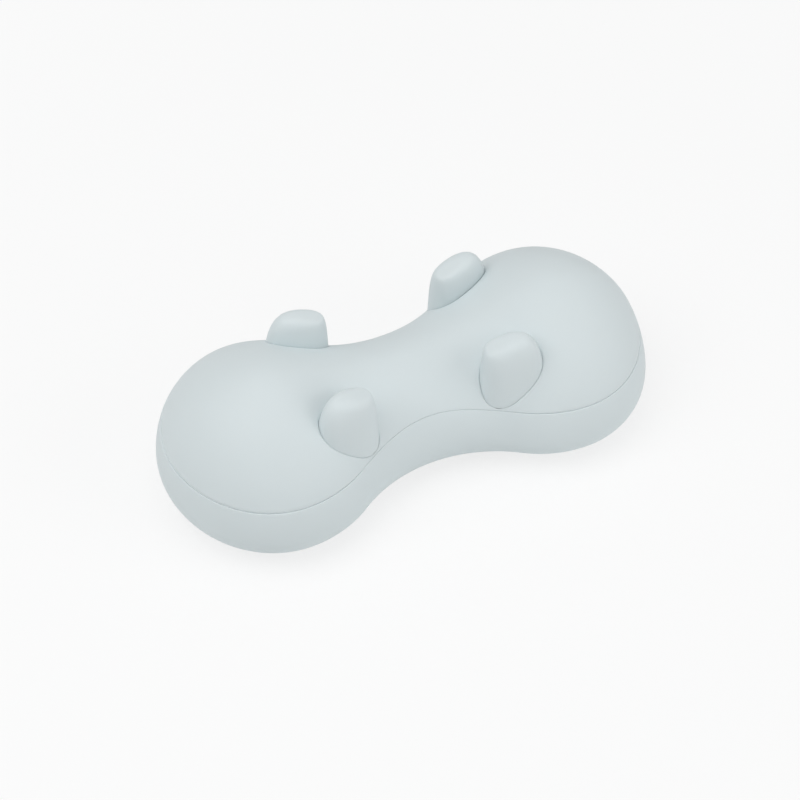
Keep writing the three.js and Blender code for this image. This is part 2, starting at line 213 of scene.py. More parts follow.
class CupSizes(bpy.types.PropertyGroup):
    """The suction cups, their wells in the underside and the sockets that hold them"""

    rim_radius: measure("Rim radius", "Of the sealing rim", 16)
    rim_flat: measure("Rim flat", "Width of the flat face that seals", 1.4)
    height: measure("Height", "From the rim to the top of the shoulder", 9)
    cavity_depth: measure("Cavity depth", "Of the hollow under the bell", 5.5)
    shoulder_radius: measure("Shoulder radius", "Of the shoulder under the socket", 7)
    shoulder_height: measure("Shoulder height", "Of the shoulder under the socket", 2)
    neck_radius: measure("Neck radius", "Of the neck in the socket's throat", 4)
    head_radius: measure("Head radius", "Of the head that snaps into the socket", 5.6)
    head_height: measure("Head height", "Of the head that snaps into the socket", 3.2)
    tab_length: measure("Tab length", "How far the release tab reaches past the rim", 4)
    tab_width: measure("Tab width", "Of the release tab", 7)
    tab_thickness: measure("Tab thickness", "Of the release tab", 1.4)
    well_radius: measure("Well radius", "Of the recess in the underside", 17.5)
    well_depth: measure("Well depth", "Of the recess in the underside", 4)
    well_lip: measure("Well lip", "Rounding of the recess's edge", 1.2)
    boss_radius: measure("Boss radius", "Of the socket's boss in the skin", 7.5)
    flange_radius: measure("Flange radius", "Of the socket's flange on the skin", 12)
    flange_thickness: measure("Flange thickness", "Of the socket's flange on the skin", 2)
    throat_length: measure("Throat length", "Of the socket's throat", 4)
    socket_wall: measure("Socket wall", "Round the head of the cup", 1.6)
    edge: measure("Edge", "Rounding of the moulded edges", 0.35)
    segments: IntProperty(name="Segments", description="Round a cup or socket", default=72, min=12)


class Finishes(bpy.types.PropertyGroup):
    """The colours of the pillow and its stage"""

    skin: colour("Skin", "Moulded skin", "#d9e2e4")
    nub: colour("Nub", "Moulded nubs", "#dbe4e6")
    foam: colour("Foam", "Cut foam", "#efeee6")
    socket: colour("Socket", "Milky polypropylene", "#eef0ee")
    cup: colour("Cup", "Clear vinyl", "#e4eef0")
    floor: colour("Floor", "Studio paper", "#f4f5f5")


class StageSettings(bpy.types.PropertyGroup):
    """The camera, the light and the floor"""

    azimuth: angle("Azimuth", "Of the camera round the pillow", -25.2)
    elevation: angle("Elevation", "Of the camera over the floor", 48.75)
    distance: measure("Distance", "From the camera to the middle of the pillow", 1612)
    target_height: measure("Target height", "Of the point that the camera faces", 45.3)
    shift_right: measure("Shift right", "How far the camera is moved right in its view", -1.98)
    shift_up: measure("Shift up", "How far the camera is moved up in its view", -11.95)
    lens: number("Lens", "Focal length in millimetres", 134.2)
    key_power: wattage("Key", "Power of the lamp at the left", 11.6)
    fill_power: wattage("Fill", "Power of the low lamp in front", 8.4)
    overhead_power: wattage("Overhead", "Power of the lamp overhead", 7.1)
    lamp_distance: measure("Lamp distance", "From a lamp to the pillow", 1800)
    lamp_size: measure("Lamp size", "Width and height of a lamp", 1300)
    ambient: number("Ambient", "Strength of the light from all round", 0.39)
    floor_size: measure("Floor size", "Width and length of the paper", 8000)


GROUPS = {
    "pillow_body": PillowSizes,
    "pillow_nubs": NubSizes,
    "pillow_cups": CupSizes,
    "pillow_finish": Finishes,
    "pillow_stage": StageSettings,
}


# Form of the pillow


def signed_power(values, exponent):
    """A power that keeps the sign, for curves between an ellipse and a rectangle."""
    return np.sign(values) * np.abs(values) ** exponent


def full_turn(count):
    """Even angles round a full turn."""
    return np.linspace(0, 2 * math.pi, count, endpoint=False)


class PillowForm:
    """The pillow's surface, and the ones inside it that an inset makes smaller all round."""

    def __init__(self, sizes):
        self.sizes = sizes
        self.end = sizes.length / 2
        self.lobe_centre = self.end - sizes.lobe_reach
        self.lobe_radius = sizes.lobe_width / 2
        self.waist_half = sizes.waist_width / 2
        overlap = self.lobe_centre**2 + self.waist_half**2 - self.lobe_radius**2
        self.waist_radius = overlap / (2 * (self.lobe_radius - self.waist_half))
        self.crest = self.end - sizes.crest_reach
        self.widest_z = sizes.underside + sizes.widest_height
        self.parting_z = sizes.underside + sizes.parting_height
        self.under_skin = sizes.skin_wall + sizes.fit_gap

    def half_width(self, x, inset=0.0):
        """Half the width of the plan at x: round lobes, joined by a waist arc tangent to them."""
        along = np.abs(x)
        arc = self.waist_radius + inset
        tangent = self.lobe_centre * arc / (self.lobe_radius + self.waist_radius)
        waist = self.waist_half + self.waist_radius - np.sqrt(np.maximum(arc**2 - along**2, 0))
        radius = self.lobe_radius - inset
        reach = np.where(along > self.lobe_centre, self.sizes.lobe_reach - inset, radius)
        lobe = radius * np.sqrt(np.maximum(1 - ((along - self.lobe_centre) / reach) ** 2, 0))
        return np.where(along < tangent, waist, lobe)

    def lobe_rise(self, inset):
        """Height of a lobe above the pillow's widest level."""
        return self.sizes.lobe_height - self.sizes.widest_height - inset

    def crown_rise(self, x, inset=0.0):
        """Height of the crown along the pillow's middle, above its widest level."""
        along = np.abs(x)
        past = (along - self.crest) / (self.sizes.crest_reach - inset)
        end = self.lobe_rise(inset) * np.sqrt(np.maximum(1 - past**2, 0))
        part = np.minimum(along / self.crest, 1) ** self.sizes.saddle_exponent
        dip = self.sizes.lobe_height - self.sizes.waist_height
        saddle = self.lobe_rise(inset) - dip * (0.5 + 0.5 * np.cos(np.pi * part))
        return np.where(along > self.crest, end, saddle)

    def crown_z(self, x, y, inset=0.0):
        """Height of the crown at x and y."""
        across = np.abs(y) / np.maximum(self.half_width(x, inset), TINY)
        power = self.sizes.crown_exponent
        rise = self.crown_rise(x, inset) * np.maximum(1 - across**power, 0) ** (1 / power)
        return self.widest_z + rise

    def reach_at(self, z, inset=0.0):
        """Half the length of the pillow at a height over its widest level."""
        part = (z - self.widest_z) / self.lobe_rise(inset)
        return self.crest + (self.sizes.crest_reach - inset) * np.sqrt(1 - part**2)

    def outline(self, z, turns, inset=0.0):
        """The closed outline at a height over the widest level, as x and y."""
        x = self.reach_at(z, inset) * np.cos(turns)
        rise = np.maximum(self.crown_rise(x, inset), TINY)
        power = self.sizes.crown_exponent
        part = np.clip((z - self.widest_z) / rise, 0, 1)
        half = self.half_width(x, inset) * (1 - part**power) ** (1 / power)
        return np.column_stack([x, np.sign(np.sin(turns)) * half])

    def parting_at(self, x):
        """Height of the parting line at x: level on the lobes, with a rise over the waist."""
        part = np.minimum(np.abs(x) / self.sizes.parting_rise_reach, 1)
        return self.parting_z + self.sizes.parting_rise * (1 - part**2) ** 2

    def upper_lip(self, x):
        """Rounding of the upper skin along the parting line, which is finer at the waist."""
        along = np.clip(2 * np.abs(x) / self.lobe_centre - 1, 0, 1)
        waist, lobe = self.sizes.waist_lip, self.sizes.parting_lip
        return waist + (lobe - waist) * along**2 * (3 - 2 * along)

    def parting_rings(self, turns, side):
        """Rings from the outside in over a skin's edge on the parting line.

        Side is 1 for the upper skin and -1 for the lower one.
        """
        sizes = self.sizes
        x = self.reach_at(self.parting_z) * np.cos(turns)
        lip = self.upper_lip(x) if side > 0 else np.full(len(x), sizes.lower_lip)
        depth = np.minimum(lip, sizes.lip_depth)[:, None]
        rings = []
        for bend in QUARTER:
            lift = side * (sizes.parting_gap / 2 + lip * (1 - math.sin(bend)))
            plan = self.outline(self.parting_at(x) + lift, turns)
            plan = plan + inward_normals(plan) * depth * (1 - math.cos(bend))
            rings.append(raised(plan, self.parting_at(plan[:, 0]) + lift))
        rings[0][:, 2] = self.crown_z(*rings[0][:, :2].T)
        return rings

    def underside_loops(self, turns, steps, inset=0.0):
        """Loops from the widest outline down and in to the flat underside, as x, y and z."""
        widest = self.outline(self.widest_z, turns, inset)
        inward = inward_normals(widest)
        drop = self.sizes.widest_height - inset
        loops = []
        for turn in np.linspace(0, math.pi / 2, steps + 1):
            plan = widest + inward * self.sizes.underside_inset * (1 - math.cos(turn))
            loops.append(raised(plan, self.widest_z - drop * math.sin(turn)))
        return loops

    def solid(self, name, inset):
        """The whole pillow as one closed mesh, through cross-sections along it."""
        power = 2 / self.sizes.crown_exponent
        turns = np.linspace(0, math.pi, CROWN_STEPS)
        across, up = signed_power(np.cos(turns), power), signed_power(np.sin(turns), power)
        tuck = np.linspace(0, math.pi / 2, FOAM_TUCK_STEPS)[1:]
        inwards = self.sizes.underside_inset * (1 - np.cos(tuck))
        drop = (self.sizes.widest_height - inset) * np.sin(tuck)
        half_turn = np.linspace(0, math.pi, SECTIONS)
        around = np.concatenate([half_turn, math.pi + half_turn[1:-1]])
        plan = self.outline(self.widest_z, around, inset)
        sections = []
        for (x, half), (to_x, to_y) in zip(plan[:SECTIONS], inward_normals(plan)):
            crown = self.widest_z + self.crown_rise(x, inset) * up
            over = [(x, half * c, z) for c, z in zip(across, crown)]
            rear = [
                (x + to_x * d, half + to_y * d, self.widest_z - z) for d, z in zip(inwards, drop)
            ]
            front = [(x, -y, z) for x, y, z in rear]
            sections.append(np.array([*over, *front, *reversed(rear)]))
        surface = Surface()
        surface.bridge(*sections)
        return surface.mesh(name)


class NubForm:
    """The surface of the nub at the master corner."""

    def __init__(self, sizes, pillow):
        self.sizes = sizes
        self.pillow = pillow
        self.middle = np.array([sizes.spacing / 2, sizes.middle])
        self.tip = np.array([-sizes.tip_shift_x, -sizes.tip_shift_y])
        self.shoulder_z = pillow.sizes.underside + sizes.shoulder_height
        self.tip_z = pillow.sizes.underside + sizes.tip_height
        self.travel = -JOINTS["nub_press_" + MASTER_CORNER]["range_m"][0]

    def root_at(self, x):
        """Height of the root at x, which is clear of the lower skin when the nub is pressed."""
        lower_skin = self.pillow.parting_at(x) - self.pillow.sizes.parting_gap / 2
        return lower_skin + self.travel + self.sizes.crease_gap

    def foot(self, turns, grow):
        """The outline of the foot about its middle, larger by grow all round."""
        sizes = self.sizes
        power = 2 / sizes.foot_exponent
        along = (sizes.length / 2 + grow) * signed_power(np.cos(turns), power)
        across = (sizes.width / 2 + grow) * signed_power(np.sin(turns), power)
        across = across * (1 - sizes.bluntness * np.cos(turns))
        c, s = math.cos(sizes.turn), math.sin(sizes.turn)
        return np.column_stack([along * c - across * s, along * s + across * c])

    def side(self, turns, level, grow):
        """Points up the side. Level is 0 at the shoulder, 1 at the tip and negative below."""
        sizes = self.sizes
        bend = np.clip(level, 0, 1) * math.pi / 2
        power = 2 / sizes.tip_exponent
        rise = np.sin(bend) ** power
        close = np.maximum(np.cos(bend), 0) ** power * (1 - sizes.taper * rise)
        plan = self.tip + (self.foot(turns, grow) - self.tip) * close[:, None]
        over = (self.tip_z + grow - self.shoulder_z) * rise + sizes.tip_slope * rise * plan[:, 0]
        straight = level * self.pillow.sizes.lobe_height
        z = self.shoulder_z + np.where(level < 0, straight, over)
        return np.column_stack([plan + self.middle, z])

    def seam(self, turns, grow, inset):
        """Where the side meets the pillow's surface at that inset."""
        low, high = (np.full(len(turns), level) for level in SEAM_LEVELS)
        for _ in range(HALVINGS):
            level = (low + high) / 2
            x, y, z = self.side(turns, level, grow).T
            under = z < self.pillow.crown_z(x, y, inset)
            low, high = np.where(under, level, low), np.where(under, high, level)
        return self.side(turns, (low + high) / 2, grow)


class CupForm:
    """The cup at the master corner, its well and its socket. Profiles are radius and height."""

    def __init__(self, sizes, pillow):
        self.sizes = sizes
        self.pillow = pillow
        self.place = np.array(JOINTS["cup_swivel_" + MASTER_CORNER]["pos_m"][:2])
        self.fit = pillow.sizes.fit_gap
        self.ceiling = pillow.sizes.underside + sizes.well_depth
        self.flange = self.ceiling + pillow.under_skin
        self.flange_top = self.flange + sizes.flange_thickness
        self.shelf = self.ceiling + sizes.throat_length
        self.roof = self.shelf + sizes.head_height + 2 * self.fit
        self.top = self.roof + sizes.socket_wall
        self.chamber = sizes.head_radius + self.fit
        self.outside = self.chamber + sizes.socket_wall

    def well_profile(self):
        """A well from its rounded rim up to the hole for the boss, and back down its inside."""
        underside, wall = self.pillow.sizes.underside, self.pillow.sizes.skin_wall
        lip, radius = self.sizes.well_lip, self.sizes.well_radius
        hole, ceiling = self.sizes.boss_radius + self.fit, self.ceiling
        over, under = lip * (1 - np.sin(QUARTER)), lip * (1 - np.cos(QUARTER))
        rim = [*zip(radius + over, underside + under), *zip(radius - under, ceiling - over)]
        back = [(radius + wall, ceiling + wall), (radius + wall, underside + wall)]
        return [*rim, (hole, ceiling), (hole, ceiling + wall), *back]

    def room_profile(self):
        """The room in the foam for a well and its socket."""
        well = self.sizes.well_radius + self.pillow.under_skin
        flange, flange_top = self.sizes.flange_radius + self.fit, self.flange_top + self.fit
        outside, top = self.outside + self.fit, self.top + self.fit
        points = [(0, 0), (well, 0), (well, self.flange), (flange, self.flange)]
        return [*points, (flange, flange_top), (outside, flange_top), (outside, top), (0, top)]

    def socket_profile(self):
        """A socket: a boss through the skin, a flange on it and a chamber for the cup's head."""
        boss, flange = self.sizes.boss_radius, self.sizes.flange_radius
        chamber, throat = self.chamber, self.sizes.neck_radius + self.fit
        points = [(0, self.roof), (chamber, self.roof), (chamber, self.shelf)]
        points += [(throat, self.shelf), (throat, self.ceiling), (boss, self.ceiling)]
        points += [(boss, self.flange), (flange, self.flange), (flange, self.flange_top)]
        points += [(self.outside, self.flange_top), (self.outside, self.top), (0, self.top)]
        return eased(points, self.sizes.edge)

    def cup_profile(self):
        """A cup: a bell with a flat sealing rim, a shoulder, a neck and a head that tapers."""
        sizes = self.sizes
        head = self.shelf + self.fit
        top = head + sizes.head_height
        cavity = bell_edge((0, sizes.cavity_depth), (sizes.rim_radius - sizes.rim_flat, 0))
        shoulder = sizes.shoulder_radius, sizes.height - sizes.shoulder_height
        points = [*cavity, *bell_edge(shoulder, (sizes.rim_radius, 0))[::-1]]
        points += [(sizes.shoulder_radius, sizes.height), (sizes.neck_radius, sizes.height)]
        points += [(sizes.neck_radius, head), (sizes.head_radius, head), (sizes.neck_radius, top)]
        return eased([*points, (0, top)], sizes.edge)


def eased(points, radius):
    """A row of points whose corners are rounded, as the edges of a moulding are."""
    points = [Vector(p) for p in points]
    row = [points[0]]
    for before, point, after in zip(points, points[1:], points[2:]):
        back, on = before - point, after - point
        if back.angle(-on) < SMOOTH_BEND:
            row.append(point)
            continue
        cut = min(radius, back.length / 2, on.length / 2)
        start, stop = point + back.normalized() * cut, point + on.normalized() * cut
        for t in np.linspace(0, 1, EASED_STEPS):
            row.append(start.lerp(point, t).lerp(point.lerp(stop, t), t))
    return [tuple(p) for p in [*row, points[-1]]]


def bell_edge(top, bottom):
    """The flare of a cup from its shoulder to its rim."""
    turns = np.linspace(0, math.pi / 2, BELL_STEPS)
    radius = top[0] + (bottom[0] - top[0]) * np.sin(turns)
    return list(zip(radius, top[1] + (bottom[1] - top[1]) * (1 - np.cos(turns))))


# Mesh building


def inward_normals(loop):
    """Unit normals of a closed anticlockwise loop that point into it."""
    along = np.roll(loop, -1, axis=0) - np.roll(loop, 1, axis=0)
    along = along / np.linalg.norm(along, axis=1, keepdims=True)
    return np.column_stack([-along[:, 1], along[:, 0]])


def raised(plan, z):
    """Points of a plan at a height, or at one height each."""
    return np.column_stack([plan, np.broadcast_to(z, len(plan))])


def circle(middle, radius, count):
    """A circle of points, anticlockwise."""
    turns = full_turn(count)
    return np.column_stack(
        [middle[0] + radius * np.cos(turns), middle[1] + radius * np.sin(turns)]
    )


def inside(points, loop):
    """Which points lie inside a closed loop."""
    x, y = points[:, :1], points[:, 1:2]
    (x0, y0), (x1, y1) = loop.T, np.roll(loop, -1, axis=0).T
    crosses = (y0 > y) != (y1 > y)
    with np.errstate(divide="ignore", invalid="ignore"):
        at = x0 + (y - y0) / (y1 - y0) * (x1 - x0)
    return (crosses & (x < at)).sum(axis=1) % 2 == 1


def between(points, border, holes):
    """Which points lie inside a border and outside its holes."""
    keep = inside(points, border)
    for hole in holes:
        keep &= ~inside(points, hole)
    return keep


def spaced(points, taken, room):
    """The points that keep room to those taken and to each other."""
    cells, kept = {}, []
    for p in taken:
        cells.setdefault((round(p[0] / room), round(p[1] / room)), []).append(p)
    around = [(i, j) for i in (-1, 0, 1) for j in (-1, 0, 1)]
    for p in points:
        column, row = round(p[0] / room), round(p[1] / room)
        near = [q for i, j in around for q in cells.get((column + i, row + j), [])]
        if all((p[0] - q[0]) ** 2 + (p[1] - q[1]) ** 2 > room**2 for q in near):
            kept.append(p)
            cells.setdefault((column, row), []).append(p)
    return kept


class Surface:
    """Collects the points and faces of one closed piece."""

    def __init__(self):
        self.points = []
        self.faces = []

    def bridge(self, *loops):
        """Quads between loops that have as many points each."""
        count = len(loops[0])
        for one, other in zip(loops, loops[1:]):
            base = len(self.points)
            self.points += [tuple(p) for p in one] + [tuple(p) for p in other]
            for i in range(count):
                j = (i + 1) % count
                self.faces.append((base + i, base + j, base + count + j, base + count + i))

    def cap(self, loop, tip):
        """Triangles from a loop to one point."""
        base = len(self.points)
        self.points += [tuple(p) for p in loop] + [tuple(tip)]
        count = len(loop)
        self.faces += [(base + i, base + (i + 1) % count, base + count) for i in range(count)]

    def fill(self, border, holes, height, spacing, lines=(), spots=()):
        """Triangles inside a border and outside its holes, at the height of each point.

        Lines are loops that edges have to follow, and spots are points to use beside an even grid.
        """
        loops = [border, *holes, *lines]
        low, high = border.min(axis=0), border.max(axis=0)
        rows = np.arange(low[1] + spacing / 2, high[1], spacing * math.sqrt(3) / 2)
        columns = np.arange(low[0] + spacing / 2, high[0], spacing)
        grid = [(x + spacing / 2 * (k % 2), y) for k, y in enumerate(rows) for x in columns]
        spare = np.array([*spots, *grid])
        spare = spare[between(spare, border, holes)]
        corners, edges = [], []
        for loop in loops:
            base = len(corners)
            corners += [Vector(p) for p in loop]
            edges += [(base + i, base + (i + 1) % len(loop)) for i in range(len(loop))]
        taken = np.concatenate(loops)
        corners += [Vector(p) for p in spaced(spare, taken, spacing * CLEARANCE)]
        points, _, triangles, *_ = delaunay_2d_cdt(corners, edges, [], 0, PLAN_EPSILON)
        plan = np.array([tuple(p) for p in points])
        triangles = np.array(triangles)
        keep = between(plan[triangles].mean(axis=1), border, holes)
        base = len(self.points)
        self.points += [tuple(p) for p in raised(plan, height(plan[:, 0], plan[:, 1]))]
        self.faces += [tuple(base + i for i in face) for face in triangles[keep].tolist()]

    def mesh(self, name):
        """The piece as a mesh whose doubles are merged and whose faces point outwards."""
        mesh = bpy.data.meshes.new(name)
        shape = bmesh.new()
        corners = [shape.verts.new(p) for p in self.points]
        for face in self.faces:
            shape.faces.new([corners[i] for i in face])
        bmesh.ops.remove_doubles(shape, verts=shape.verts, dist=SAME_POINT)
        loose = [v for v in shape.verts if not v.link_faces]
        bmesh.ops.delete(shape, geom=loose, context="VERTS")
        bmesh.ops.recalc_face_normals(shape, faces=shape.faces)
        open_edges = sum(not edge.is_manifold for edge in shape.edges)
        if open_edges:
            raise RuntimeError(f"{name} has {open_edges} open edges")
        shape.to_mesh(mesh)
        shape.free()
        return mesh


# Nodes


def add_node(tree, kind, inputs, **settings):
    """Adds a node and gives its outputs. Each input is a value, or a socket to link to it."""
    node = tree.nodes.new(kind)
    for name, value in settings.items():
        setattr(node, name, value)
    for key, value in inputs.items():
        if isinstance(value, bpy.types.NodeSocket):
            tree.links.new(value, node.inputs[key])
        else:
            node.inputs[key].default_value = value
    return node.outputs


def piece_tree(name, sockets):
    """A tree that takes a geometry, the named sockets and a material, with its inputs."""
    tree = bpy.data.node_groups.new(name, "GeometryNodeTree")
    for way in ("OUTPUT", "INPUT"):
        tree.interface.new_socket("Geometry", in_out=way, socket_type="NodeSocketGeometry")
    for socket, kind in {**sockets, "Material": "NodeSocketMaterial"}.items():
        tree.interface.new_socket(socket, in_out="INPUT", socket_type=kind)
    return tree, add_node(tree, "NodeGroupInput", {})


def end_tree(tree, geometry, material):
    """Ends a tree with plain geometry in one material."""
    plain = add_node(tree, "GeometryNodeRealizeInstances", {"Geometry": geometry})
    finish = {"Geometry": plain[0], "Material": material}
    finish = add_node(tree, "GeometryNodeSetMaterial", finish)
    add_node(tree, "NodeGroupOutput", {0: finish[0]})
    return tree


def turned_tree():
    """Turns a row of points in the XZ plane about +Z, from axis to axis, at a place."""
    sockets = {"Segments": "NodeSocketInt", "Place": "NodeSocketVector"}
    tree, given = piece_tree("Turned piece", sockets)
    outline, segments = given["Geometry"], given["Segments"]
    row = add_node(tree, "GeometryNodeAttributeDomainSize", {"Geometry": outline})
    columns = add_node(tree, "ShaderNodeMath", {0: segments, 1: 1.0}, operation="ADD")[0]
    size = {"Vertices X": row["Point Count"], "Vertices Y": columns}
    grid = add_node(tree, "GeometryNodeMeshGrid", size)
    index = add_node(tree, "GeometryNodeInputIndex", {})[0]
    ratio = add_node(tree, "ShaderNodeMath", {0: index, 1: columns}, operation="DIVIDE")
    point = add_node(tree, "ShaderNodeMath", {0: ratio[0]}, operation="FLOOR")
    column = add_node(tree, "ShaderNodeMath", {0: index, 1: columns}, operation="MODULO")
    position = add_node(tree, "GeometryNodeInputPosition", {})
    profile = add_node(
        tree,
        "GeometryNodeSampleIndex",
        {"Geometry": outline, "Value": position[0], "Index": point[0]},
        data_type="FLOAT_VECTOR",
        domain="POINT",
    )
    part = add_node(tree, "ShaderNodeMath", {0: column[0], 1: segments}, operation="DIVIDE")
    turn = add_node(tree, "ShaderNodeMath", {0: part[0], 1: 2 * math.pi}, operation="MULTIPLY")
    spin = {"Vector": profile[0], "Angle": turn[0]}
    spun = add_node(tree, "ShaderNodeVectorRotate", spin, rotation_type="Z_AXIS")
    shift = {0: spun[0], 1: given["Place"]}
    moved = add_node(tree, "ShaderNodeVectorMath", shift, operation="ADD")
    set_points = {"Geometry": grid[0], "Position": moved[0]}
    shape = add_node(tree, "GeometryNodeSetPosition", set_points)
    merge = {"Geometry": shape[0], "Distance": SAME_POINT}
    closed = add_node(tree, "GeometryNodeMergeByDistance", merge)
    return end_tree(tree, closed[0], given["Material"])


def corner_tree():
    """Mirrors a piece that is drawn at the master corner to another corner of the pillow."""
    tree, given = piece_tree(
        "Corner copy", {"Side X": "NodeSocketFloat", "Side Y": "NodeSocketFloat"}
    )
    side_x, side_y = given["Side X"], given["Side Y"]
    sides = add_node(tree, "ShaderNodeCombineXYZ", {"X": side_x, "Y": side_y, "Z": 1.0})
    copy = {"Geometry": given["Geometry"], "Scale": sides[0]}
    placed = add_node(tree, "GeometryNodeTransform", copy)[0]
    hand = add_node(tree, "ShaderNodeMath", {0: side_x, 1: side_y}, operation="MULTIPLY")
    mirror = add_node(tree, "ShaderNodeMath", {0: hand[0], 1: 0.0}, operation="LESS_THAN")
    flipped = add_node(tree, "GeometryNodeFlipFaces", {"Mesh": placed})
    choice = {"Switch": mirror[0], "False": placed, "True": flipped[0]}
    outward = add_node(tree, "GeometryNodeSwitch", choice, input_type="GEOMETRY")
    return end_tree(tree, outward[0], given["Material"])


def linked(name, data):
    """A new object in the scene."""
    made = bpy.data.objects.new(name, data)
    bpy.context.scene.collection.objects.link(made)
    return made


def evaluated_mesh(piece):
    """A plain mesh of a piece with its modifiers applied."""
    depsgraph = bpy.context.evaluated_depsgraph_get()
    return bpy.data.meshes.new_from_object(piece.evaluated_get(depsgraph))


def grown(name, mesh, tree, values):
    """The plain mesh that a tree makes of a mesh, with its inputs set."""
    piece = linked(name, mesh)
    modifier = piece.modifiers.new(tree.name, "NODES")
    modifier.node_group = tree
    for item in tree.interface.items_tree:
        if item.in_out == "INPUT" and item.name in values:
            modifier[item.identifier] = values[item.name]
    result = evaluated_mesh(piece)
    bpy.data.objects.remove(piece)
    return result


def carved(mesh, *steps):
    """A mesh after a row of cuts, each an operation and the mesh that it takes."""
    piece = linked("carved", mesh)
    tools = []
    for operation, other in steps:
        tools.append(linked("tool", other))
        modifier = piece.modifiers.new(operation, "BOOLEAN")
        modifier.operation = operation
        modifier.solver = "MANIFOLD"
        modifier.object = tools[-1]
    result = evaluated_mesh(piece)
    for made in (piece, *tools):
        bpy.data.objects.remove(made)
    if not result.polygons:
        raise RuntimeError("a cut left nothing")
    return result


def finished(name, mesh, material, body):
    """Shows a mesh as a piece that rides on a body and stands for the node of its name."""
    mesh.name = name
    mesh.materials.clear()
    mesh.materials.append(material)
    mesh.shade_smooth()
    mesh.set_sharp_from_angle(angle=SHARP_EDGE)
    piece = linked(name + "_piece", mesh)
    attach(piece, body)
    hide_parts(name)
    return piece


# Meshes of the pieces


def at_corner(points, corner):
    """Points of the master corner, mirrored to another corner."""
    return np.asarray(points) * np.array([*CORNERS[corner], 1])[: np.shape(points)[1]]


def above(points, floor):
    """Which points lie higher than a floor, whose height is a function of x."""
    return points[:, 2] > floor(points[:, 0])


def opening_turns(nub, gap, wall, floor):
    """Turns round an opening, and those where its inner edge crosses the skin's lower edge."""
    turns = full_turn(OPENING_TURNS)
    over = above(nub.seam(turns, gap, wall), floor)
    change = np.flatnonzero(over != np.roll(over, -1))
    low, high = turns[change], turns[change] + 2 * math.pi / OPENING_TURNS
    for _ in range(HALVINGS):
        middle = (low + high) / 2
        same = above(nub.seam(middle, gap, wall), floor) == over[change]
        low, high = np.where(same, middle, low), np.where(same, high, middle)
    return np.sort(np.concatenate([turns, low])), low


def opening_loops(pillow, nub, turns, floor):
    """Loops over the rounded edge of a nub's opening and down its wall to the inside."""
    wall, gap = pillow.sizes.skin_wall, nub.sizes.crease_gap
    seam = nub.seam(turns, gap, 0)
    # The lip is finer where the foot nears the parting line, so that no slot shows below it.
    room = seam[:, 2] - nub.root_at(seam[:, 0])
    lip = np.clip(room * nub.sizes.crease_share, gap, nub.sizes.crease_lip)
    depth = np.minimum(lip, pillow.sizes.lip_depth)
    plan = seam[:, :2] - inward_normals(seam[:, :2]) * lip[:, None]
    on_crown = raised(plan, pillow.crown_z(*plan.T)) - seam
    on_wall = nub.seam(turns, gap, depth) - seam
    loops = [seam + on_crown * (1 - math.sin(b)) + on_wall * (1 - math.cos(b)) for b in QUARTER]
    for part in np.linspace(0, 1, OPENING_STEPS)[1:]:
        loops.append(nub.seam(turns, gap, depth + (wall - depth) * part))
    for loop in loops:
        loop[:, 2] = np.maximum(loop[:, 2], floor(loop[:, 0]))
    return loops


def upper_skin_mesh(pillow, nub):
    """The crown of the skin, with an opening for each nub whose edge is rounded into a crease."""
    sizes, gap = pillow.sizes, nub.sizes.crease_gap
    wall = sizes.skin_wall

    def floor(x):
        return pillow.parting_at(x) + sizes.parting_gap / 2

    def lining_z(x, y):
        return np.maximum(pillow.crown_z(x, y, wall), floor(x))

    around = full_turn(SKIN_TURNS)
    rim = pillow.parting_rings(around, 1)
    turns, crossings = opening_turns(nub, gap, wall, floor)
    opening = opening_loops(pillow, nub, turns, floor)
    edge = floor(pillow.reach_at(pillow.parting_z) * np.cos(around))
    lower_edge = pillow.outline(edge, around, wall)
    for corner in CORNERS:
        for point in at_corner(nub.seam(crossings, gap, wall)[:, :2], corner):
            lower_edge[np.argmin(np.linalg.norm(lower_edge - point, axis=1))] = point
    steps = ROW_SPACING * sizes.facet * np.arange(1, EDGE_ROWS + 1)
    levels = [edge + sizes.parting_lip + step for step in steps]
    surface = Surface()
    surface.bridge(*rim)
    for corner in CORNERS:
        surface.bridge(*[at_corner(loop, corner) for loop in opening])
    faces = ((0, 0.0, pillow.crown_z, []), (-1, wall, lining_z, [lower_edge]))
    for end, inset, height, lines in faces:
        holes = [at_corner(opening[end][:, :2], corner) for corner in CORNERS]
        spots = np.concatenate([pillow.outline(z, around, inset) for z in levels])
        surface.fill(rim[end][:, :2], holes, height, sizes.facet, lines, spots)
    return surface.mesh("upper_skin")


def lower_skin_mesh(pillow, cup):
    """The lower skin, from the parting line round to the underside, with a well for each cup."""
    facet, wall = pillow.sizes.facet, pillow.sizes.skin_wall
    around = full_turn(SKIN_TURNS)
    outside = pillow.parting_rings(around, -1)[::-1]
    levels = np.linspace(outside[-1][:, 2], pillow.widest_z, OUTSIDE_STEPS)[1:-1]
    outside += [raised(pillow.outline(z, around), z) for z in levels]
    outside += pillow.underside_loops(around, TUCK_STEPS)
    levels = np.linspace(outside[0][:, 2], pillow.widest_z, LINING_STEPS)[:-1]
    lining = [raised(pillow.outline(z, around, wall), z) for z in levels]
    lining += pillow.underside_loops(around, LINING_TUCK_STEPS, wall)
    surface = Surface()
    surface.bridge(*lining[::-1], *outside)
    wells = []
    for corner in CORNERS:
        middle, count = at_corner([cup.place], corner)[0], cup.sizes.segments
        profile = cup.well_profile()
        wells.append([raised(circle(middle, radius, count), z) for radius, z in profile])
        surface.bridge(*wells[-1])
    for loops, end, facets in ((outside, 0, UNDERSIDE_FACETS), (lining, -1, LINING_FACETS)):
        level = wells[0][end][0, 2]
        holes = [well[end][:, :2] for well in wells]
        surface.fill(loops[-1][:, :2], holes, lambda x, y: np.full(len(x), level), facets * facet)
    return surface.mesh("lower_skin")


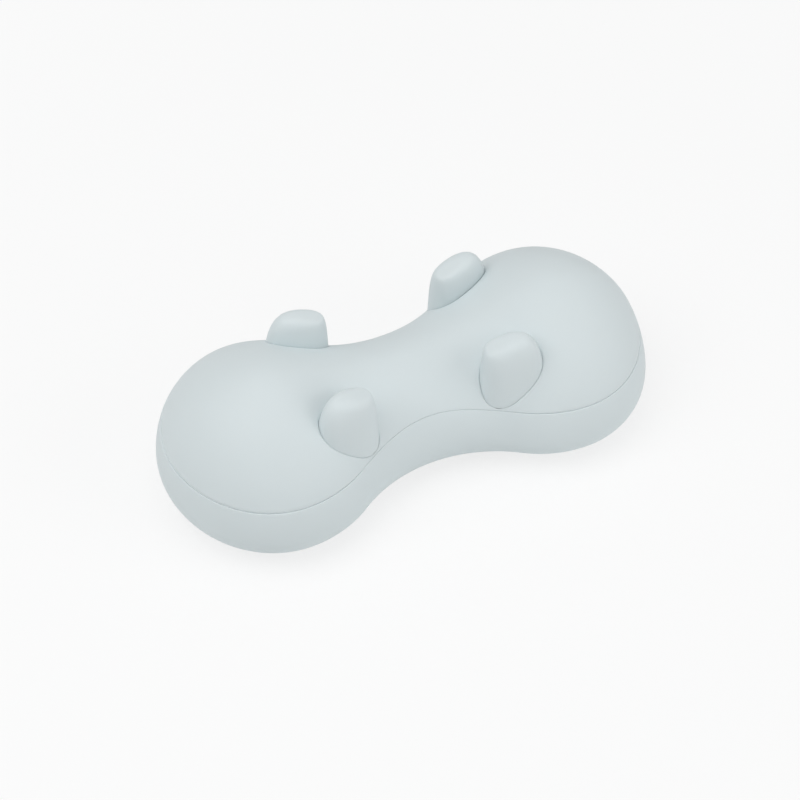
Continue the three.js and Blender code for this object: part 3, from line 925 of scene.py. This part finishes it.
def capped_mesh(name, loops, tips=None):
    """A closed mesh through loops, whose ends are drawn to their tips or else to their middles."""
    first, last = tips or [loop.mean(axis=0) for loop in (loops[0], loops[-1])]
    surface = Surface()
    surface.cap(loops[0], first)
    surface.bridge(*loops)
    surface.cap(loops[-1], last)
    return surface.mesh(name)


def nub_mesh(pillow, nub):
    """A nub with the flange that holds it under the skin, at the master corner."""
    sizes = nub.sizes
    turns = full_turn(NUB_TURNS)
    rise = np.linspace(0, NUB_STRAIGHT, NUB_STEPS)
    straight = np.arcsin(rise ** (sizes.tip_exponent / 2)) / (math.pi / 2)
    closing = 1 - (1 - straight[-1]) * np.linspace(1, 0, NUB_TIP_STEPS)[1:-1] ** 2
    foot = nub.foot(turns, 0) + nub.middle
    loops = [raised(foot, nub.root_at(foot[:, 0]))]
    for level in [*straight, *closing]:
        loops.append(nub.side(turns, np.full(len(turns), level), 0))
    root = (*nub.middle, nub.root_at(nub.middle[0]))
    body = capped_mesh("nub", loops, [root, nub.side(turns[:1], np.ones(1), 0)[0]])
    reach = nub.foot(turns, sizes.flange_lip) + nub.middle
    heights = pillow.parting_z - sizes.flange_lip, nub.tip_z
    flange = capped_mesh("flange", [raised(reach, z) for z in heights])
    flange = carved(flange, ("INTERSECT", pillow.solid("lining", pillow.under_skin)))
    backing = pillow.solid("backing", pillow.under_skin + sizes.flange_thickness)
    return carved(body, ("UNION", flange), ("DIFFERENCE", backing))


def nub_pocket_mesh(pillow, nub):
    """The room in the foam for a nub's flange and its travel, at the master corner."""
    sizes, fit = nub.sizes, pillow.sizes.fit_gap
    backing = pillow.solid("backing", pillow.under_skin + sizes.flange_thickness + fit)
    backing.transform(Matrix.Translation((0, 0, -nub.travel)))
    reach = nub.foot(full_turn(POCKET_TURNS), sizes.flange_lip + fit) + nub.middle
    heights = pillow.parting_z - sizes.flange_lip - nub.travel - fit, nub.tip_z
    pocket = capped_mesh("pocket", [raised(reach, z) for z in heights])
    return carved(pocket, ("DIFFERENCE", backing))


def foam_core_mesh(pillow, nub, cup):
    """The foam, with room for the sockets and for the flanges of the nubs."""
    rooms = nub_pocket_mesh(pillow, nub), turned_mesh("room", cup.room_profile(), cup)
    cuts = []
    for side_x, side_y in CORNERS.values():
        for cutter in rooms:
            copy = cutter.copy()
            copy.transform(Matrix.Diagonal((side_x, side_y, 1, 1)))
            if side_x * side_y < 0:
                copy.flip_normals()
            cuts.append(("DIFFERENCE", copy))
    return carved(pillow.solid("foam", pillow.under_skin), *cuts)


def turned_mesh(name, profile, cup, material=None):
    """A profile of radius and height, turned about the axis of a cup."""
    row = bpy.data.meshes.new(name)
    points = [(radius, 0, z) for radius, z in profile]
    row.from_pydata(points, [(i, i + 1) for i in range(len(points) - 1)], [])
    values = {"Segments": cup.sizes.segments, "Place": (*cup.place, 0.0)}
    if material:
        values["Material"] = material
    made = grown(name, row, turned_tree(), values)
    shape = bmesh.new()
    shape.from_mesh(made)
    bmesh.ops.recalc_face_normals(shape, faces=shape.faces)
    shape.to_mesh(made)
    shape.free()
    return made


def tab_mesh(cup):
    """The round-ended tab on a cup's rim that lets air in, with eased edges."""
    sizes = cup.sizes
    half, root = sizes.tab_width / 2, sizes.rim_radius - sizes.rim_flat
    tip = sizes.rim_radius + sizes.tab_length - half
    bends = np.linspace(-math.pi / 2, math.pi / 2, TAB_TURNS)
    loops = []
    for face, edge in ((0, TAB_BOTTOM), (sizes.tab_thickness, TAB_TOP)):
        for inset, lift in edge:
            ease = sizes.edge * inset
            wide = half - ease
            end = [(tip + wide * math.cos(b), wide * math.sin(b)) for b in bends]
            plan = np.array([(root + ease, -wide), *end, (root + ease, wide)]) + cup.place
            loops.append(raised(plan, face + sizes.edge * lift))
    return capped_mesh("tab", loops)


# Materials


def new_material(name):
    """An empty material, with its tree and the coordinates of the piece."""
    material = bpy.data.materials.new(name)
    material.use_nodes = True
    material.node_tree.nodes.clear()
    place = add_node(material.node_tree, "ShaderNodeTexCoord", {})
    return material, material.node_tree, place["Object"]


def ended(material, shader):
    """A material, ended with its shader."""
    add_node(material.node_tree, "ShaderNodeOutputMaterial", {"Surface": shader})
    return material


def toned(tree, colour_value, fade, amount):
    """A colour that fades by a share where a pattern is low."""
    low = tuple(c * (1 - amount) for c in colour_value)
    mix = {0: fade, 6: (*low, 1), 7: (*colour_value, 1)}
    return add_node(tree, "ShaderNodeMix", mix, data_type="RGBA")[2]


def skin_material(name, colour_value, roughness):
    """Polyurethane foam skin, cast against a blasted mould: dry and matte, with a soft edge to its
    shade because light sinks a little way in, and a grain that only breaks up the sheen."""
    material, tree, place = new_material(name)
    pattern = {"Vector": place, "Scale": 1 / (40 * MM), "Detail": 2.0}
    cloud = add_node(tree, "ShaderNodeTexNoise", pattern)[0]
    # The blasted grain is about 0.1 mm, and is drawn at 0.7 mm so that it shows.
    pattern = {"Vector": place, "Scale": 1 / (0.7 * MM), "Detail": 3.0}
    grain = add_node(tree, "ShaderNodeTexNoise", pattern)[0]
    spread = {"Value": grain, "To Min": roughness - 0.06, "To Max": roughness + 0.06}
    rough = add_node(tree, "ShaderNodeMapRange", spread)
    relief = {"Height": grain, "Strength": 0.3, "Distance": 0.06 * MM}
    bump = add_node(tree, "ShaderNodeBump", relief)
    surface = {
        "Base Color": toned(tree, colour_value, cloud, amount=0.02),
        "Roughness": rough[0],
        "IOR": 1.48,
        "Specular IOR Level": 0.35,
        "Subsurface Weight": 0.15,
        "Subsurface Radius": (1.0, 0.95, 0.9),
        "Subsurface Scale": 2 * MM,
        "Normal": bump[0],
    }
    return ended(material, add_node(tree, "ShaderNodeBsdfPrincipled", surface)[0])


def foam_material(name, colour_value):
    """Polyurethane foam, cut: open cells that are bumped in towards their middles, with painted
    shade that darkens the colour in those pits.
    """
    material, tree, place = new_material(name)
    pattern = {"Vector": place, "Scale": 1 / (1.2 * MM)}
    cells = add_node(tree, "ShaderNodeTexVoronoi", pattern)[0]
    relief = {"Height": cells, "Strength": 0.6, "Distance": 0.4 * MM}
    bump = add_node(tree, "ShaderNodeBump", relief)
    surface = {
        # Painted shade: the colour is up to 18% darker towards the middle of each cell, where the
        # bump sinks in.
        "Base Color": toned(tree, colour_value, cells, amount=0.18),
        "Roughness": 0.95,
        "IOR": 1.45,
        "Normal": bump[0],
    }
    return ended(material, add_node(tree, "ShaderNodeBsdfPrincipled", surface)[0])


def socket_material(name, colour_value):
    """Polypropylene, injection moulded: milky, with a satin surface and faint flow marks."""
    material, tree, place = new_material(name)
    pattern = {"Vector": place, "Scale": 1 / (3 * MM), "Detail": 2.0, "Distortion": 1.0}
    flow = add_node(tree, "ShaderNodeTexNoise", pattern)[0]
    relief = {"Height": flow, "Strength": 0.08, "Distance": 0.05 * MM}
    bump = add_node(tree, "ShaderNodeBump", relief)
    rough = add_node(tree, "ShaderNodeMapRange", {"Value": flow, "To Min": 0.3, "To Max": 0.42})
    surface = {
        "Base Color": toned(tree, colour_value, flow, amount=0.04),
        "Roughness": rough[0],
        "IOR": 1.49,
        "Subsurface Weight": 0.2,
        "Subsurface Scale": 1.5 * MM,
        "Normal": bump[0],
    }
    return ended(material, add_node(tree, "ShaderNodeBsdfPrincipled", surface)[0])


def cup_material(name, colour_value):
    """Plasticised vinyl, injection moulded: clear with a cool tint, glossy, and a little cloudy."""
    material, tree, place = new_material(name)
    pattern = {"Vector": place, "Scale": 1 / (5 * MM), "Detail": 2.0}
    cloud = add_node(tree, "ShaderNodeTexNoise", pattern)[0]
    rough = add_node(tree, "ShaderNodeMapRange", {"Value": cloud, "To Min": 0.1, "To Max": 0.2})
    surface = {
        "Base Color": toned(tree, colour_value, cloud, amount=0.04),
        "Roughness": rough[0],
        "IOR": 1.52,
        "Transmission Weight": 0.75,
    }
    return ended(material, add_node(tree, "ShaderNodeBsdfPrincipled", surface)[0])


def paper_material(name, colour_value):
    """Studio paper, matte. What the camera sees of it is lifted towards white, and keeps a soft
    shadow near the pillow. Further off it fades into the white behind it."""
    material, tree, place = new_material(name)
    pattern = {"Vector": place, "Scale": 1 / (2 * MM), "Detail": 2.0}
    fibre = add_node(tree, "ShaderNodeTexNoise", pattern)[0]
    surface = {"Base Color": toned(tree, colour_value, fibre, amount=0.01), "Roughness": 0.9}
    paper = add_node(tree, "ShaderNodeBsdfPrincipled", surface)
    white = add_node(tree, "ShaderNodeEmission", {"Color": (1, 1, 1, 1), "Strength": 1.0})
    away = add_node(tree, "ShaderNodeVectorMath", {0: place}, operation="LENGTH")["Value"]
    fade = {"Value": away, "From Min": 300 * MM, "From Max": 1500 * MM}
    lift = add_node(tree, "ShaderNodeMapRange", {**fade, "To Min": 0.75, "To Max": 1.0})
    lifted = {0: seen_directly(tree), 1: lift[0]}
    seen = add_node(tree, "ShaderNodeMath", lifted, operation="MULTIPLY")
    mix = add_node(tree, "ShaderNodeMixShader", {0: seen[0], 1: paper[0], 2: white[0]})
    return ended(material, mix[0])


def seen_directly(tree):
    """1 on rays from the camera or by way of a gloss or clear surface, and 0 on others."""
    path = add_node(tree, "ShaderNodeLightPath", {})
    gloss = {0: path["Is Glossy Ray"], 1: path["Is Transmission Ray"]}
    through = add_node(tree, "ShaderNodeMath", gloss, operation="MAXIMUM")
    either = {0: path["Is Camera Ray"], 1: through[0]}
    return add_node(tree, "ShaderNodeMath", either, operation="MAXIMUM")[0]


# Operators


def forms():
    """The pillow, the nub and the cup, from the scene's sizes."""
    scene = bpy.context.scene
    pillow = PillowForm(scene.pillow_body)
    return pillow, NubForm(scene.pillow_nubs, pillow), CupForm(scene.pillow_cups, pillow)


def corner_pieces(prefix, mesh, material, body):
    """Sets a copy of a piece at each corner, on a body of its own or on the one that is named."""
    tree = corner_tree()
    for corner, (side_x, side_y) in CORNERS.items():
        values = {"Side X": float(side_x), "Side Y": float(side_y), "Material": material}
        copy = grown(prefix, mesh, tree, values)
        finished(f"{prefix}_{corner}", copy, material, body.format(corner))


class PILLOW_OT_skins(bpy.types.Operator):
    """Makes the upper and the lower skin"""

    bl_idname = "pillow.skins"
    bl_label = "Skins"

    def execute(self, context):
        pillow, nub, cup = forms()
        finish = context.scene.pillow_finish
        material = skin_material("Polyurethane skin, cast", finish.skin, roughness=0.58)
        upper, lower = upper_skin_mesh(pillow, nub), lower_skin_mesh(pillow, cup)
        for name, mesh in (("upper_skin", upper), ("lower_skin", lower)):
            finished(name, mesh, material, "pillow")
        return {"FINISHED"}


class PILLOW_OT_nubs(bpy.types.Operator):
    """Makes the massage nubs"""

    bl_idname = "pillow.nubs"
    bl_label = "Massage nubs"

    def execute(self, context):
        pillow, nub, _ = forms()
        finish = context.scene.pillow_finish
        material = skin_material("Thermoplastic elastomer, moulded", finish.nub, roughness=0.52)
        mesh = nub_mesh(pillow, nub)
        corner_pieces("massage_nub", mesh, material, "nub_{}")
        return {"FINISHED"}


class PILLOW_OT_core(bpy.types.Operator):
    """Makes the foam core"""

    bl_idname = "pillow.core"
    bl_label = "Foam core"

    def execute(self, context):
        material = foam_material("Polyurethane foam, cut", context.scene.pillow_finish.foam)
        mesh = foam_core_mesh(*forms())
        finished("foam_core", mesh, material, "pillow")
        return {"FINISHED"}


class PILLOW_OT_sockets(bpy.types.Operator):
    """Makes the sockets that hold the cups"""

    bl_idname = "pillow.sockets"
    bl_label = "Cup sockets"

    def execute(self, context):
        _, _, cup = forms()
        material = socket_material("Polypropylene, moulded", context.scene.pillow_finish.socket)
        mesh = turned_mesh("socket", cup.socket_profile(), cup, material)
        corner_pieces("cup_socket", mesh, material, "pillow")
        return {"FINISHED"}


class PILLOW_OT_cups(bpy.types.Operator):
    """Makes the suction cups"""

    bl_idname = "pillow.cups"
    bl_label = "Suction cups"

    def execute(self, context):
        _, _, cup = forms()
        material = cup_material("Vinyl, moulded clear", context.scene.pillow_finish.cup)
        bell = turned_mesh("cup", cup.cup_profile(), cup, material)
        mesh = carved(bell, ("UNION", tab_mesh(cup)))
        corner_pieces("suction_cup", mesh, material, "cup_{}")
        return {"FINISHED"}


def direction(azimuth, elevation):
    """From the pillow towards a camera or a lamp, where azimuth 0 is in front of it."""
    across = math.cos(elevation)
    return Vector((math.sin(azimuth) * across, -math.cos(azimuth) * across, math.sin(elevation)))


class PILLOW_OT_stage(bpy.types.Operator):
    """Sets the floor, the light and the camera"""

    bl_idname = "pillow.stage"
    bl_label = "Stage"

    def execute(self, context):
        scene, stage = context.scene, context.scene.pillow_stage
        self.floor(scene, stage)
        self.light(scene, stage)
        self.camera(scene, stage)
        scene.view_settings.view_transform = "Standard"
        return {"FINISHED"}

    def floor(self, scene, stage):
        """A wide sheet of paper."""
        half = stage.floor_size / 2
        mesh = bpy.data.meshes.new("floor")
        corners = [(-half, -half, 0), (half, -half, 0), (half, half, 0), (-half, half, 0)]
        mesh.from_pydata(corners, [], [(0, 1, 2, 3)])
        mesh.materials.append(paper_material("Studio paper, matte", scene.pillow_finish.floor))
        linked("floor", mesh)

    def light(self, scene, stage):
        """Three large soft lamps round the pillow, in even light from all round."""
        for name, (azimuth, elevation) in LAMPS.items():
            lamp = bpy.data.lights.new(name, "AREA")
            lamp.energy = getattr(stage, name + "_power")
            lamp.shape, lamp.size = "SQUARE", stage.lamp_size
            holder = linked(name, lamp)
            back = direction(math.radians(azimuth), math.radians(elevation))
            holder.location = Vector((0, 0, stage.target_height)) + back * stage.lamp_distance
            holder.rotation_euler = back.to_track_quat("Z", "Y").to_euler()
        world = bpy.data.worlds.new("studio")
        world.use_nodes = True
        tree = world.node_tree
        tree.nodes.clear()
        span = {"Value": seen_directly(tree), "To Min": stage.ambient, "To Max": 1.0}
        strength = add_node(tree, "ShaderNodeMapRange", span)
        white = {"Color": (1, 1, 1, 1), "Strength": strength[0]}
        sky = add_node(tree, "ShaderNodeBackground", white)
        add_node(tree, "ShaderNodeOutputWorld", {"Surface": sky[0]})
        scene.world = world

    def camera(self, scene, stage):
        """A long lens at the photograph's angle."""
        data = bpy.data.cameras.new("camera")
        data.lens, data.sensor_width, data.clip_end = stage.lens, SENSOR_WIDTH, CLIP_END
        holder = linked("camera", data)
        back = direction(stage.azimuth, stage.elevation)
        turn = back.to_track_quat("Z", "Y")
        shift = turn @ Vector((stage.shift_right, stage.shift_up, 0))
        holder.location = Vector((0, 0, stage.target_height)) + back * stage.distance + shift
        holder.rotation_euler = turn.to_euler()
        scene.camera = holder


OPERATORS = (
    PILLOW_OT_stage,
    PILLOW_OT_skins,
    PILLOW_OT_nubs,
    PILLOW_OT_core,
    PILLOW_OT_sockets,
    PILLOW_OT_cups,
)


class PILLOW_PT_sidebar(bpy.types.Panel):
    """The pieces of the pillow and their sizes"""

    bl_idname = "PILLOW_PT_sidebar"
    bl_label = "Bath pillow"
    bl_space_type = "VIEW_3D"
    bl_region_type = "UI"
    bl_category = "Bath pillow"

    def draw(self, context):
        for operator in OPERATORS:
            self.layout.operator(operator.bl_idname)
        for name, group in GROUPS.items():
            box = self.layout.box()
            box.label(text=group.__doc__)
            for size in group.__annotations__:
                box.prop(getattr(context.scene, name), size)


def register():
    """Adds the sizes, the operators and the panel."""
    for name, group in GROUPS.items():
        bpy.utils.register_class(group)
        setattr(bpy.types.Scene, name, PointerProperty(type=group))
    for item in (*OPERATORS, PILLOW_PT_sidebar):
        bpy.utils.register_class(item)


def unregister():
    """Takes the panel, the operators and the sizes away."""
    for item in (PILLOW_PT_sidebar, *reversed(OPERATORS)):
        bpy.utils.unregister_class(item)
    for name, group in reversed(GROUPS.items()):
        delattr(bpy.types.Scene, name)
        bpy.utils.unregister_class(group)


def main():
    """Makes the whole pillow."""
    register()
    bpy.ops.pillow.stage()
    bpy.ops.pillow.skins()
    bpy.ops.pillow.nubs()
    bpy.ops.pillow.core()
    bpy.ops.pillow.sockets()
    bpy.ops.pillow.cups()


if __name__ == "__main__":
    main()
